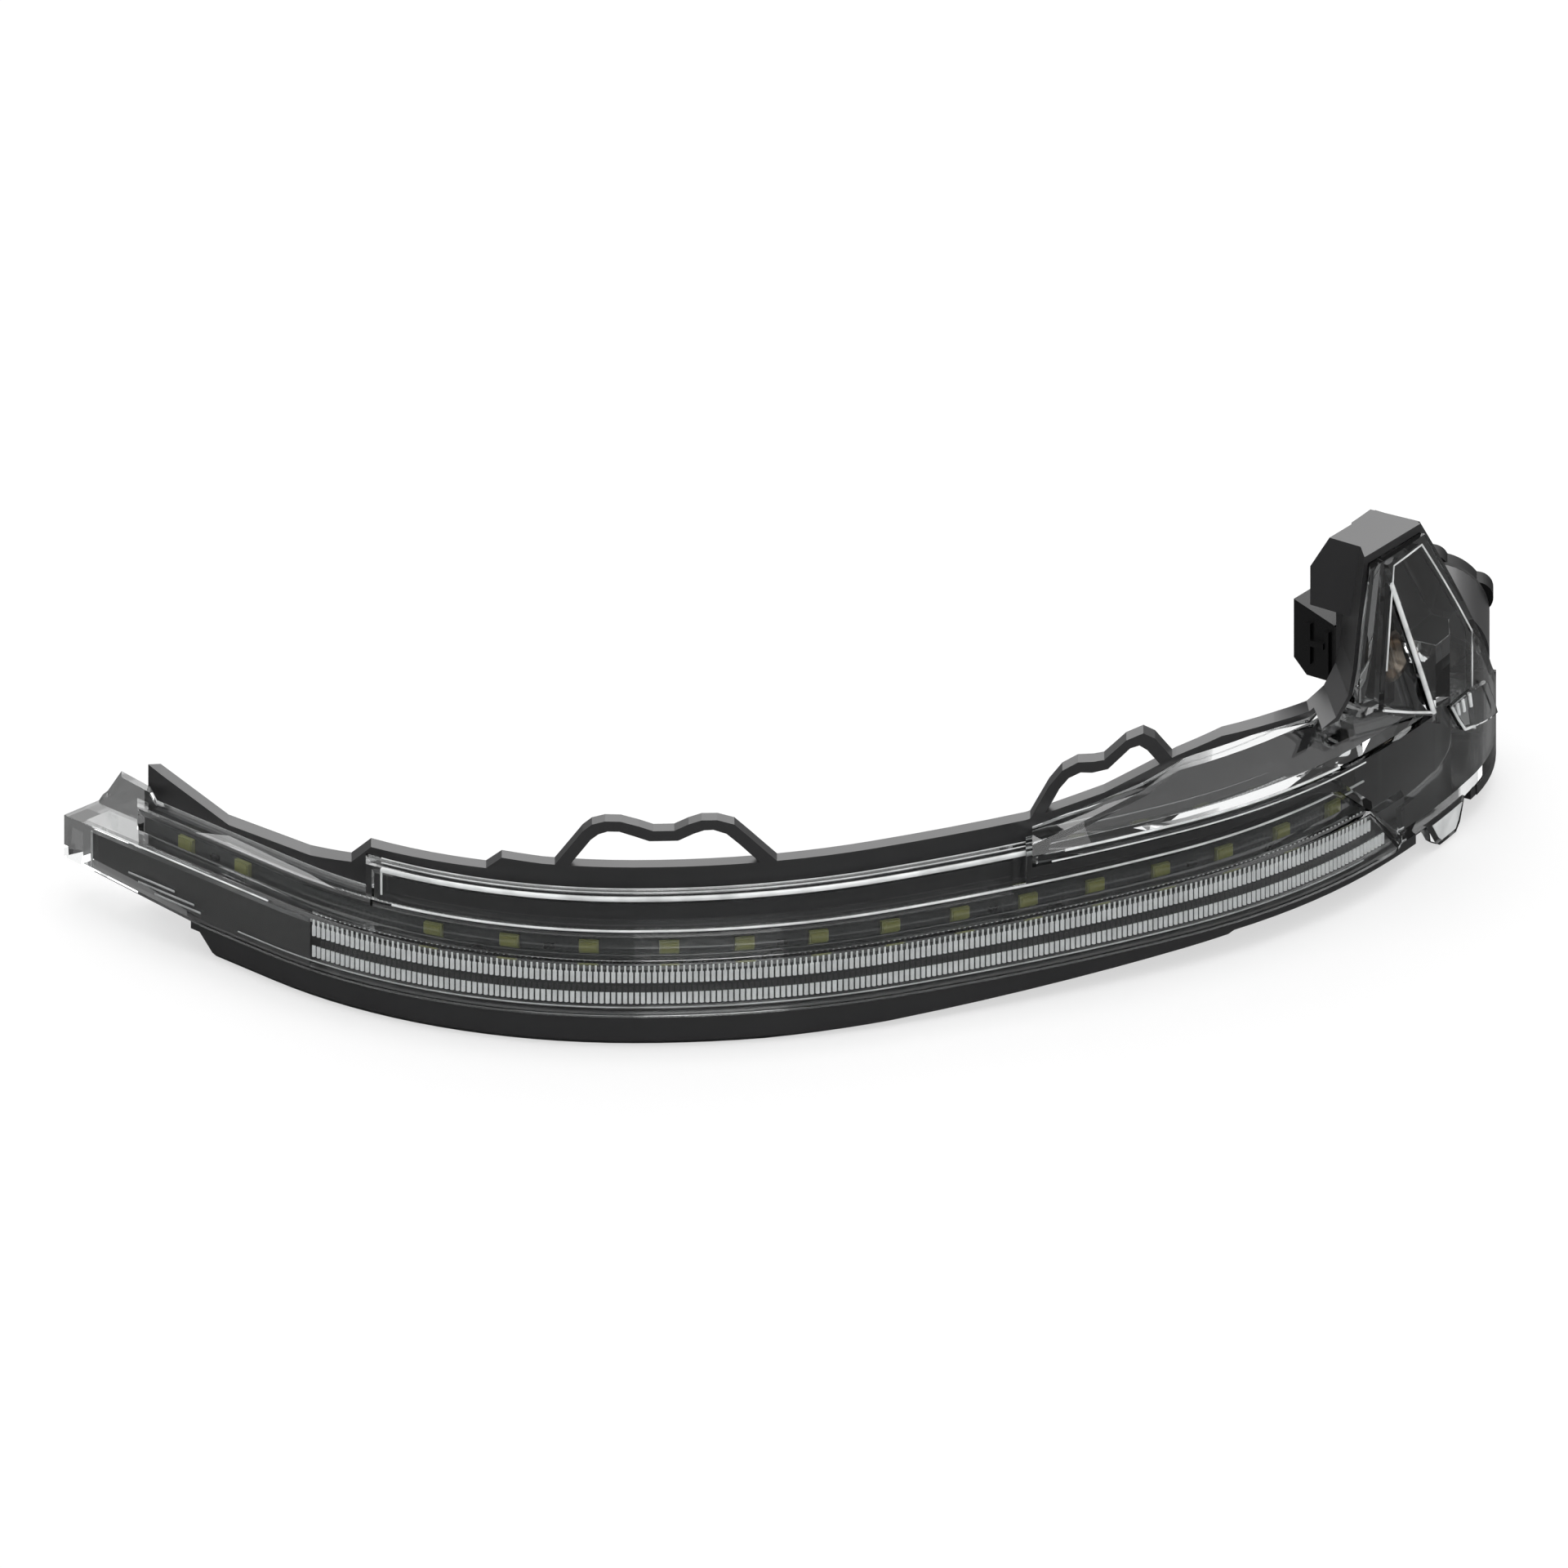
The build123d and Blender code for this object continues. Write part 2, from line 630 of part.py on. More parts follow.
guide_outline = front_view(
    (guide_left, guide_low), (115.4, guide_low), (111.7, guide_high), (guide_left, guide_high),
)
tip_spots = places(guide_inset, [guide_start + n * tooth_pitch for n in range(guide_teeth)], 0)
root_spots = places(
    guide_inset + tooth_depth, [guide_start + (n + 0.5) * tooth_pitch for n in range(guide_teeth)], 0
)
rear_spots = places(
    guide_inset + guide_depth - guide_web / 2,
    [guide_start + n * rear_pitch for n in range(rear_steps + 1)], 0,
)
comb = [spot.origin for pair in zip(tip_spots, root_spots) for spot in pair]
comb += [spot.origin for spot in reversed(rear_spots)]

with BuildPart() as prism_bar:
    for row_low, row_high in guide_rows:
        with BuildSketch(Plane.XY.offset(row_low)):
            with BuildLine():
                Polyline(*[(point.X, point.Y) for point in comb], close=True)
            make_face()
        extrude(amount=row_high - row_low)
    add(follow(guide_inset + guide_depth - guide_web, guide_inset + guide_depth, guide_outline))
    extrude(guide_outline, amount=2 * view_depth, mode=Mode.INTERSECT)
prism_bar.part.label = "prism_bar"
export_step(prism_bar.part, "parts/prism_bar.step")

with BuildPart() as end_bezel:
    add(follow(guide_inset, guide_inset + bezel_wall, front_view(
        (far_left, 9.8), (far_left, guide_high), (guide_left - fit_gap, guide_high),
        (guide_left - fit_gap, floor_top), (-64, floor_top), (-74, 7.2)),
        lead=lens_lead - lens_end_wall - bezel_gap))
end_bezel.part.label = "end_bezel"
export_step(end_bezel.part, "parts/end_bezel.step")

reflector_face = leg_face(reflector_along, leg_board_front - led_thick, reflector_height, 1)
reflector_length = leg_board_front - led_thick - reflector_mouth

with BuildPart() as leg_reflector:
    with BuildSketch(reflector_face):
        Circle(reflector_rear + reflector_wall)
    with BuildSketch(reflector_face.offset(reflector_length)):
        Circle(reflector_front + reflector_wall)
    loft(ruled=True)
    with BuildSketch(reflector_face):
        Circle(reflector_rear)
    with BuildSketch(reflector_face.offset(reflector_length)):
        Circle(reflector_front)
    loft(ruled=True, mode=Mode.SUBTRACT)
leg_reflector.part.label = "leg_reflector"
export_step(leg_reflector.part, "parts/leg_reflector.step")

with BuildPart() as leg_board:
    add(leg_box((box_along[0] + box_wall + fit_gap, box_along[1] - box_wall - fit_gap),
                (leg_board_front, leg_board_front + leg_board_thick),
                (box_low + box_wall + fit_gap, box_high - box_wall - fit_gap)))
leg_board.part.label = "leg_board"
export_step(leg_board.part, "parts/leg_board.step")

with BuildPart() as leg_led:
    add(leg_box((reflector_along - led_width / 2, reflector_along + led_width / 2),
                (leg_board_front - led_thick, leg_board_front),
                (reflector_height - led_height / 2, reflector_height + led_height / 2)))
leg_led.part.label = "leg_led"
export_step(leg_led.part, "parts/leg_led.step")

with BuildPart() as leg_led_cap:
    add(leg_box((reflector_along - led_width / 2 + led_rim, reflector_along + led_width / 2 - led_rim),
                (leg_board_front - led_thick - led_cap, leg_board_front - led_thick),
                (reflector_height - led_height / 2 + led_rim, reflector_height + led_height / 2 - led_rim)))
leg_led_cap.part.label = "leg_led_cap"
export_step(leg_led_cap.part, "parts/leg_led_cap.step")

with BuildPart() as driver_chip:
    add(leg_box((reflector_along - chip_side / 2, reflector_along + chip_side / 2),
                (leg_board_front - chip_thick, leg_board_front),
                (chip_height - chip_side / 2, chip_height + chip_side / 2)))
driver_chip.part.label = "driver_chip"
export_step(driver_chip.part, "parts/driver_chip.step")

with BuildPart() as connector_seal:
    add(leg_box(socket_along, (box_back, box_back + socket_seal), (socket_low, socket_high - socket_fall)))
    add(leg_box((pins_along[0] - pin_width, pins_along[-1] + pin_width),
                (box_back, box_back + socket_seal), tail_heights), mode=Mode.SUBTRACT)
connector_seal.part.label = "connector_seal"
export_step(connector_seal.part, "parts/connector_seal.step")

socket_inner = (
    (socket_along[0] + socket_wall, socket_along[1] - socket_wall),
    (box_back + socket_seal + socket_wall, socket_back - socket_wall),
)
with BuildPart() as connector_shell:
    add(leg_box(socket_along, (box_back + socket_seal, socket_back), (socket_low, socket_high)))
    add(leg_profile(
        socket_along, (box_back, socket_high - socket_fall), (socket_back, socket_high),
        (socket_back, socket_high + cut_past), (box_back, socket_high + cut_past)), mode=Mode.SUBTRACT)
    add(leg_profile(
        socket_along, (socket_back - socket_chamfer, socket_low), (socket_back, socket_low + socket_chamfer),
        (socket_back + cut_past, socket_low + socket_chamfer),
        (socket_back + cut_past, socket_low - cut_past),
        (socket_back - socket_chamfer, socket_low - cut_past)), mode=Mode.SUBTRACT)
    add(leg_box(*socket_inner, (socket_low - cut_past, socket_high - socket_roof)), mode=Mode.SUBTRACT)
    for middle in pins_along:
        reach = (middle - pin_width / 2 - seam_gap, middle + pin_width / 2 + seam_gap)
        add(leg_box(reach, (box_back, pin_tail_backs[1] + seam_gap),
                    (blade_heights[0], tail_heights[1] + seam_gap)), mode=Mode.SUBTRACT)
connector_shell.part.label = "connector_shell"
export_step(connector_shell.part, "parts/connector_shell.step")

with BuildPart() as connector_pins:
    for middle in pins_along:
        reach = (middle - pin_width / 2, middle + pin_width / 2)
        add(leg_box(reach, pin_tail_backs, tail_heights))
        add(leg_box(reach, pin_blade_backs, blade_heights))
connector_pins.part.label = "connector_pins"
export_step(connector_pins.part, "parts/connector_pins.step")

with BuildPart() as vent_membrane:
    with BuildSketch(leg_face(vent_along, head_back, vent_height, -1)):
        Circle(vent_radius)
    extrude(amount=vent_thick)
vent_membrane.part.label = "vent_membrane"
export_step(vent_membrane.part, "parts/vent_membrane.step")

holder_view = Plane.XZ.offset(-pod_rear)
with BuildPart() as holder_seal:
    with BuildSketch(holder_view):
        with Locations((holder_x, holder_z)):
            Circle(pod_radius)
            Circle(bore_radius, mode=Mode.SUBTRACT)
    extrude(amount=-holder_seal_thick)
holder_seal.part.label = "holder_seal"
export_step(holder_seal.part, "parts/holder_seal.step")

with BuildPart() as lamp_holder:
    with BuildSketch(holder_view.offset(-holder_seal_thick)):
        with Locations((holder_x, holder_z)):
            Circle(holder_radius - holder_lobe / 2)
            with PolarLocations(holder_radius - holder_lobe, holder_lobes, start_angle=holder_turn):
                Circle(holder_lobe)
    extrude(amount=-holder_flange)
    with BuildSketch(holder_view.offset(-holder_seal_thick)):
        with Locations((holder_x, holder_z)):
            Circle(bore_radius - fit_gap)
    extrude(amount=holder_neck + holder_seal_thick)
    with BuildSketch(holder_view.offset(holder_neck)):
        with Locations((holder_x, holder_z)):
            Circle(bulb_radius + seam_gap)
    extrude(amount=-bulb_seat, mode=Mode.SUBTRACT)
lamp_holder.part.label = "lamp_holder"
export_step(lamp_holder.part, "parts/lamp_holder.step")

with BuildPart() as bulb:
    with BuildSketch(holder_view.offset(holder_neck - bulb_seat)):
        with Locations((holder_x, holder_z)):
            Circle(bulb_radius)
    extrude(amount=bulb_length)
    fillet(bulb.edges().group_by(Axis.Y)[0], radius=bulb_radius - fit_gap)
bulb.part.label = "bulb"
export_step(bulb.part, "parts/bulb.step")

with BuildPart() as flex_jumper:
    add(follow(board_inset - jumper_thick, board_inset, band(
        jumper_left, jumper_left + jumper_width, board_high - jumper_lap, ridge_height + jumper_rise)))
flex_jumper.part.label = "flex_jumper"
export_step(flex_jumper.part, "parts/flex_jumper.step")
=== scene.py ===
import bpy
import bmesh
from math import cos, pi, radians, sin
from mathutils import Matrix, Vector


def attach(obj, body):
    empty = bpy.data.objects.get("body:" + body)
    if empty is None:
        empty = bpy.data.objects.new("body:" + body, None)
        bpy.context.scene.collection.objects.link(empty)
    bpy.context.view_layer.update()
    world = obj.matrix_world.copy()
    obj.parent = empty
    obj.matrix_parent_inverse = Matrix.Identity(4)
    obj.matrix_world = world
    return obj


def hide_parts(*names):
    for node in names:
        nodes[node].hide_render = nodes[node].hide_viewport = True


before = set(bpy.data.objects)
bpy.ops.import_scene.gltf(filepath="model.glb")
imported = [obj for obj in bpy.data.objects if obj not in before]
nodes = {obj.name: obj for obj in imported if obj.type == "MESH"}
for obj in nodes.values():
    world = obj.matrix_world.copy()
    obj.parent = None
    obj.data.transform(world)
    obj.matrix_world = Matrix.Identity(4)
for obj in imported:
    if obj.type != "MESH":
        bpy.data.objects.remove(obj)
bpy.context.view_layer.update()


# The lens is one clear acrylic moulding from a polished tool: lower bar, window, bead, flare, leg and tabs.
# It is welded to the housing along its rear edge and is seen mostly by what it mirrors and bends.
MM = 0.001  # in metres
ACRYLIC_IOR = 1.49
FLOW_MARK_MM = 14.0
FLOW_MARK_ROUGHNESS = 0.012


def add_node(tree, kind, settings=None, links=None):
    """A new node of a tree, with attributes and input values from settings, and inputs linked from sockets."""
    node = tree.nodes.new(kind)
    for name, value in (settings or {}).items():
        if name in node.inputs:
            node.inputs[name].default_value = value
        else:
            setattr(node, name, value)
    for name, socket in (links or {}).items():
        tree.links.new(socket, node.inputs[name])
    return node


def linear(hex_colour):
    """An sRGB hex colour such as 1c1c1e as linear RGBA."""
    channels = [int(hex_colour[i:i + 2], 16) / 255 for i in (0, 2, 4)]
    return [c / 12.92 if c <= 0.04045 else ((c + 0.055) / 1.055) ** 2.4 for c in channels] + [1.0]


def new_material(name):
    """An empty node material, as itself, its tree and its Principled shader."""
    material = bpy.data.materials.new(name)
    material.use_nodes = True
    tree = material.node_tree
    tree.nodes.clear()
    shader = add_node(tree, "ShaderNodeBsdfPrincipled")
    add_node(tree, "ShaderNodeOutputMaterial", links={"Surface": shader.outputs["BSDF"]})
    return material, tree, shader


def wear(obj, material):
    """Gives a piece or a CAD node its material."""
    obj.data.materials.clear()
    obj.data.materials.append(material)


# Polished acrylic bends and mirrors light like a window pane. Faint flow marks in its polish keep it from
# looking like perfect glass.
clear_acrylic, tree, shader = new_material("polished clear acrylic")
place = add_node(tree, "ShaderNodeTexCoord")
flow = add_node(tree, "ShaderNodeTexNoise", {"Scale": 1 / (FLOW_MARK_MM * MM), "Detail": 1.0},
                {"Vector": place.outputs["Object"]})
polish = add_node(tree, "ShaderNodeMapRange", {"To Min": 0.0, "To Max": FLOW_MARK_ROUGHNESS},
                  {"Value": flow.outputs["Fac"]})
tree.links.new(polish.outputs["Result"], shader.inputs["Roughness"])
shader.inputs["Base Color"].default_value = linear("fbfcfc")
shader.inputs["IOR"].default_value = ACRYLIC_IOR
shader.inputs["Transmission Weight"].default_value = 1.0
wear(nodes["outer_lens"], clear_acrylic)


# The light guide is one strip of acrylic behind the bar: a clear web with two rows of fine upright ribs moulded
# on its front, and a row of thinner fins over the upper one. It clips in between the lens and the board.
PLAN_ARCS = (  # radius in mm and degrees: the first turns left from the foremost point, the others right
    (80, 45),
    (110, 21.5), (300, 9.5), (100, 24), (150, 11), (41, 24),
)
FACE_Y_MM = -2.8  # the lens's face at its foremost point
GUIDE_SPAN_MM = (-53.5, 137.6)  # along the plan curve
GUIDE_LEFT_MM = -49.0  # the x from which ribs show, right of the end trim
RIB_PITCH_MM = 0.9
RIB_INSET_MM = 2.2
RIB_DEPTH_MM = 0.32
RIB_SIDES = 6
RIB_ROWS_MM = (  # width, low, high, right end; the last row is the fins
    (0.65, 6.8, 8.6, 114.2),
    (0.65, 10.3, 12.0, 112.2),
    (0.3, 12.0, 13.1, 111.6),
)
WEB_INSETS_MM = (2.55, 4.2)
WEB_HEIGHTS_MM = (5.8, 12.4)
WEB_STEPS = 120
PAINTED_GLOW = 0.2


def on_plan(distance, inset):
    """A spot on the plan curve set back by an inset, at a distance from its foremost point, and its heading."""
    way = 1 if distance > 0 else -1
    spot = Vector((0, FACE_Y_MM + inset))
    heading = 0.0
    still_to_go = abs(distance)
    for face_radius, degrees in (PLAN_ARCS[1:] if distance > 0 else PLAN_ARCS[:1]):
        radius = face_radius - inset
        turn = min(still_to_go / radius, radians(degrees))
        centre = spot + radius * Vector((-sin(heading), cos(heading)))
        heading += way * turn
        spot = centre + radius * Vector((sin(heading), -cos(heading)))
        still_to_go -= turn * radius
    return spot + way * still_to_go * Vector((cos(heading), sin(heading))), heading


def add_post(form, outline, low, high):
    """An upright prism over a closed plan outline, all in millimetres."""
    rings = [[form.verts.new((x * MM, y * MM, z * MM)) for x, y in outline] for z in (low, high)]
    for before, after in zip(range(-1, len(outline) - 1), range(len(outline))):
        form.faces.new((rings[0][before], rings[0][after], rings[1][after], rings[1][before]))
    form.faces.new(rings[0][::-1])
    form.faces.new(rings[1])


def add_rib(form, distance, width, low, high, right):
    """An upright rib with a rounded front, where its row still reaches."""
    middle, heading = on_plan(distance, RIB_INSET_MM)
    if not GUIDE_LEFT_MM < middle.x < right:
        return
    along = Vector((cos(heading), sin(heading)))
    back = Vector((-sin(heading), cos(heading)))
    turns = [pi * n / RIB_SIDES for n in range(RIB_SIDES + 1)]
    outline = [middle + along * (width / 2 * cos(turn)) + back * RIB_DEPTH_MM * (1 - sin(turn))
               for turn in turns]
    add_post(form, outline[::-1], low, high)


def finish_piece(name, form, material, smooth=None):
    """Turns a form into a piece that rides on the lamp, with its material.

    Corners under smooth degrees are shaded round.
    """
    bmesh.ops.recalc_face_normals(form, faces=form.faces)
    mesh = bpy.data.meshes.new(name)
    form.to_mesh(mesh)
    form.free()
    piece = bpy.data.objects.new(name, mesh)
    bpy.context.scene.collection.objects.link(piece)
    if smooth is not None:
        mesh.shade_smooth()
        mesh.set_sharp_from_angle(angle=radians(smooth))
    wear(piece, material)
    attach(piece, "root")
    return piece


def add_clouds(tree, shader, place, hex_dark, hex_light, cloud_mm, detail=2.0, ends=(0.0, 1.0)):
    """Colours a surface in two near tones that drift into each other, and returns the clouds between them."""
    clouds = add_node(tree, "ShaderNodeTexNoise", {"Scale": 1 / (cloud_mm * MM), "Detail": detail},
                      {"Vector": place.outputs["Object"]})
    tone = add_node(tree, "ShaderNodeValToRGB", links={"Fac": clouds.outputs["Fac"]})
    for element, position, colour in zip(tone.color_ramp.elements, ends, (hex_dark, hex_light)):
        element.position = position
        element.color = linear(colour)
    tree.links.new(tone.outputs["Color"], shader.inputs["Base Color"])
    return clouds


# Etched acrylic scatters light, so the ribs look nearly white against the dark housing behind. They are also
# given a small painted glow of their own, which makes them read brighter than the room's light alone would.
# Its tone drifts over three ribs at a time.
etched_acrylic_painted_glow, tree, shader = new_material("etched light guide acrylic with painted glow")
place = add_node(tree, "ShaderNodeTexCoord")
add_clouds(tree, shader, place, "d8dada", "f0f2f2", RIB_PITCH_MM * 3, ends=(0.35, 0.65))
shader.inputs["Roughness"].default_value = 0.3
shader.inputs["IOR"].default_value = ACRYLIC_IOR
# Painted glow: the ribs give off a little light of their own, though they are no lamp
shader.inputs["Emission Color"].default_value = linear("f0f2f2")
shader.inputs["Emission Strength"].default_value = PAINTED_GLOW

guide_start, guide_end = GUIDE_SPAN_MM
ribs = bmesh.new()
for step in range(int((guide_end - guide_start) / RIB_PITCH_MM)):
    for width, low, high, right in RIB_ROWS_MM:
        add_rib(ribs, guide_start + step * RIB_PITCH_MM, width, low, high, right)
guide_ribs = finish_piece("guide_ribs", ribs, etched_acrylic_painted_glow, smooth=40)
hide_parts("prism_bar")

# The web behind the ribs is polished like the lens and only bends what stands behind it
web = bmesh.new()
front, back = WEB_INSETS_MM
low, high = WEB_HEIGHTS_MM
rows = []
for step in range(WEB_STEPS + 1):
    distance = guide_start + (guide_end - guide_start) * step / WEB_STEPS
    corners = []
    for inset, height in ((front, low), (back, low), (back, high), (front, high)):
        spot, _ = on_plan(distance, inset)
        corners.append(web.verts.new((spot.x * MM, spot.y * MM, height * MM)))
    rows.append(corners)
for before, after in zip(rows, rows[1:]):
    for a, b in ((0, 1), (1, 2), (2, 3), (3, 0)):
        web.faces.new((before[a], before[b], after[b], after[a]))
web.faces.new(rows[0])
web.faces.new(rows[-1][::-1])
guide_web = finish_piece("guide_web", web, clear_acrylic, smooth=40)
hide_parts("prism_bar")


# Painted highlights: thin white beads lie along the lens's ledges and creases, so that its edges show as bright
# lines. A white pad on the front of the tab under its right end is painted white room seen through the tab.
LEDGE_HIGHLIGHTS_MM = (  # inset, height, from x, to x, radius
    (4.2, 17.82, -37.0, 111.0, 0.2),
    (5.3, 22.75, -38.6, 61.0, 0.42),
    (6.75, 23.15, -38.6, 61.0, 0.12),
    (8.1, 23.15, -38.6, 61.0, 0.14),
    (1.75, 6.4, -60.0, 111.0, 0.12),
    (0.1, 14.25, -84.0, -56.0, 0.14),
    (1.1, 24.0, 66.0, 108.0, 0.22),
    (1.1, 22.6, 64.0, 112.0, 0.16),
    (0.9, 8.9, -77.0, -70.0, 0.2),
    (0.9, 8.0, -75.5, -67.0, 0.2),
    (0.9, 7.1, -73.0, -66.0, 0.2),
)
POST_HIGHLIGHTS_MM = (  # x, inset, from height, to height, radius
    (-84.9, 0.45, 7.4, 13.4, 0.24),
    (-38.6, 5.3, 18.6, 22.7, 0.2),
)
LEG_HIGHLIGHTS_MM = (  # radius, inset, then (across, height) on the leg's face
    (0.42, 0.95, (2.6, 50.2), (8.8, 36.8), (15.0, 23.6)),
    (0.22, 1.0, (15.0, 23.6), (8.0, 26.4), (0.6, 29.6)),
    (0.16, 1.0, (1.4, 36.0), (2.4, 45.0), (3.4, 53.0), (11.4, 53.4),
     (20.0, 42.4), (28.0, 32.0), (35.6, 22.2)),
    (0.24, 0.1, (19.4, 22.8), (21.6, 19.8), (23.8, 17.3), (28.6, 16.1)),
    (0.36, 0.1, (21.0, 22.7), (21.6, 20.8)),
    (0.36, 0.1, (22.8, 22.7), (23.4, 20.6)),
    (0.36, 0.1, (25.2, 22.7), (25.8, 20.4)),
)
TAB_PAINTED_WHITE_MM = ((14.6, 4.6), (16.5, 1.9), (17.5, 1.1), (22.0, 1.1), (23.0, 2.1), (24.4, 4.6))  # across, height
TAB_PAINTED_WHITE_INSETS_MM = (0.9, 1.05)
LEG_SPOT_MM = Vector((115.3, 55.2))  # where the leg's face starts, in plan
LEG_SCREEN = radians(60)  # the heading of the flat that the leg's face is seen square on against
WHOLE_CURVE_MM = (-100.0, 150.0)
LEG_STRETCH_MM = (80.0, 160.0)
FOUND_MM = 0.001  # how near a search along the curve comes
BEAD_STEP_MM = 2
BEAD_SIDES = 8
LEG_RUN_STEPS = 4
NEAR_UPRIGHT = 0.98  # a run that rises more than this share of its length takes any side
HIGHLIGHT_CLOUD_MM = 5


def distance_up_to(falls_short, low, high):
    """The distance along the plan curve, between two others, up to which a spot still falls short."""
    while high - low > FOUND_MM:
        middle = (low + high) / 2
        low, high = (middle, high) if falls_short(middle) else (low, middle)
    return low


def at_x(x, inset):
    """The distance along the plan curve at an inset where it has this x."""

    def falls_short(distance):
        return on_plan(distance, inset)[0].x < x

    return distance_up_to(falls_short, *WHOLE_CURVE_MM)


def on_leg(across, height, inset):
    """The spot on the leg seen square on at (across, height), set back from the lens face."""
    right = Vector((cos(LEG_SCREEN), sin(LEG_SCREEN)))

    def falls_short(distance):
        return (on_plan(distance, inset)[0] - LEG_SPOT_MM).dot(right) < across

    spot, _ = on_plan(distance_up_to(falls_short, *LEG_STRETCH_MM), inset)
    return Vector((spot.x, spot.y, height))


def add_bead(form, path, radius):
    """A round bead through a path of points in millimetres."""
    turns = [2 * pi * n / BEAD_SIDES for n in range(BEAD_SIDES)]
    rings = []
    for before, spot, after in zip(path[:1] + path[:-1], path, path[1:] + path[-1:]):
        along = (after - before).normalized()
        across = along.orthogonal() if abs(along.z) > NEAR_UPRIGHT else along.cross(Vector((0, 0, 1)))
        side = across.normalized()
        up = side.cross(along)
        rings.append([form.verts.new((spot + radius * (side * cos(t) + up * sin(t))) * MM) for t in turns])
    for before, after in zip(rings, rings[1:]):
        for n in range(BEAD_SIDES):
            form.faces.new((before[n - 1], before[n], after[n], after[n - 1]))
    form.faces.new(rings[0][::-1])
    form.faces.new(rings[-1])


def add_pad(form, outline, insets):
    """A thin pad with its outline seen square on, between two insets from the lens face."""
    front, back = ([form.verts.new(on_leg(across, height, inset) * MM) for across, height in outline]
                   for inset in insets)
    for n in range(len(outline)):
        form.faces.new((front[n - 1], front[n], back[n], back[n - 1]))
    form.faces.new(front)
    form.faces.new(back[::-1])


highlight_beads = bmesh.new()
for inset, height, left, right, radius in LEDGE_HIGHLIGHTS_MM:
    start, end = at_x(left, inset), at_x(right, inset)
    count = int((end - start) / BEAD_STEP_MM) + 2
    spots = [on_plan(start + (end - start) * n / (count - 1), inset)[0] for n in range(count)]
    add_bead(highlight_beads, [Vector((spot.x, spot.y, height)) for spot in spots], radius)
for x, inset, low, high, radius in POST_HIGHLIGHTS_MM:
    spot, _ = on_plan(at_x(x, inset), inset)
    add_bead(highlight_beads, [Vector((spot.x, spot.y, height)) for height in (low, high)], radius)
for radius, inset, *corners in LEG_HIGHLIGHTS_MM:
    path = []
    for (across, height), (next_across, next_height) in zip(corners, corners[1:]):
        for share in (n / LEG_RUN_STEPS for n in range(LEG_RUN_STEPS)):
            path.append(on_leg(across + (next_across - across) * share,
                               height + (next_height - height) * share, inset))
    path.append(on_leg(*corners[-1], inset))
    add_bead(highlight_beads, path, radius)
# The tab's pad is a painted reflection: white that stands for the room seen through the clear tab
add_pad(highlight_beads, TAB_PAINTED_WHITE_MM, TAB_PAINTED_WHITE_INSETS_MM)

# Painted highlight: frosted acrylic that shows nearly white in room light, so the beads read as bright lines.
# Its tone drifts in soft patches.
painted_highlight, tree, shader = new_material("painted highlight beads")
place = add_node(tree, "ShaderNodeTexCoord")
add_clouds(tree, shader, place, "d6d8d8", "fafcfc", HIGHLIGHT_CLOUD_MM, ends=(0.35, 0.6))
shader.inputs["Roughness"].default_value = 0.15
shader.inputs["IOR"].default_value = ACRYLIC_IOR
shader.inputs["Transmission Weight"].default_value = 0.1
finish_piece("lens_highlight_beads", highlight_beads, painted_highlight, smooth=50)


# The rear housing is one black ABS moulding: back wall, skirt, rim, bows, box, pod and lug. The board carrier
# inside is moulded of the same ABS and clips to the back wall.
SPARK_GRAIN_MM = 0.35
PLASTIC_IOR = 1.53
FLOW_GRAINS = 40
POLISH_SWAY = 0.15
DENT_STRENGTH = 0.15


def grained(name, hex_dark, hex_light, roughness, grain_mm, depth_mm, metallic=0.0):
    """A surface in two near tones with a fine grain, and a polish that varies a little with the tones.

    The tones drift over many grains. A grain of less than about 0.15 mm doesn't show in the picture, so the
    finer ones below are drawn two or three times their real size, and only just deep enough to be seen.
    """
    material, tree, shader = new_material(name)
    place = add_node(tree, "ShaderNodeTexCoord")
    flow = add_clouds(tree, shader, place, hex_dark, hex_light, grain_mm * FLOW_GRAINS)
    polish = add_node(tree, "ShaderNodeMapRange",
                      {"To Min": roughness * (1 - POLISH_SWAY), "To Max": roughness * (1 + POLISH_SWAY)},
                      {"Value": flow.outputs["Fac"]})
    grain = add_node(tree, "ShaderNodeTexNoise", {"Scale": 1 / (grain_mm * MM), "Detail": 3.0},
                     {"Vector": place.outputs["Object"]})
    dent = add_node(tree, "ShaderNodeBump", {"Strength": DENT_STRENGTH, "Distance": depth_mm * MM},
                    {"Height": grain.outputs["Fac"]})
    tree.links.new(polish.outputs["Result"], shader.inputs["Roughness"])
    tree.links.new(dent.outputs["Normal"], shader.inputs["Normal"])
    shader.inputs["Metallic"].default_value = metallic
    if not metallic:
        shader.inputs["IOR"].default_value = PLASTIC_IOR
    return material


# The tool's fine spark texture leaves black ABS satin, so its tops turn grey against a bright room. The real
# grain is about 0.1 mm and is drawn coarser, so that it shows.
satin_abs = grained("satin black ABS", "2c2c2d", "323233",
                    roughness=0.32, grain_mm=SPARK_GRAIN_MM, depth_mm=0.02)
for name in ("rear_housing", "board_carrier"):
    wear(nodes[name], satin_abs)


# The housing's back wall is stiffened by low upright ribs and one stringer between them. They are moulded on
# it, of the same ABS, and don't show from the front.
STIFFENER_ROOT_MM = 11.0  # 0.1 mm inside the wall's back face, so that nothing gapes there
STIFFENER_SPOTS_MM = range(-62, 98, 16)
STIFFENER_WIDTH_MM = 1.0
STIFFENER_MM = 1.3
STIFFENER_ENDS_MM = ((4.0, STIFFENER_MM), (17.0, STIFFENER_MM / 3))  # height, and how far back from the root
STRINGER_ENDS_MM = ((9.6, STIFFENER_MM / 2), (10.6, STIFFENER_MM / 2))
STRINGER_STEP_MM = 4
WELD_MM = 0.01


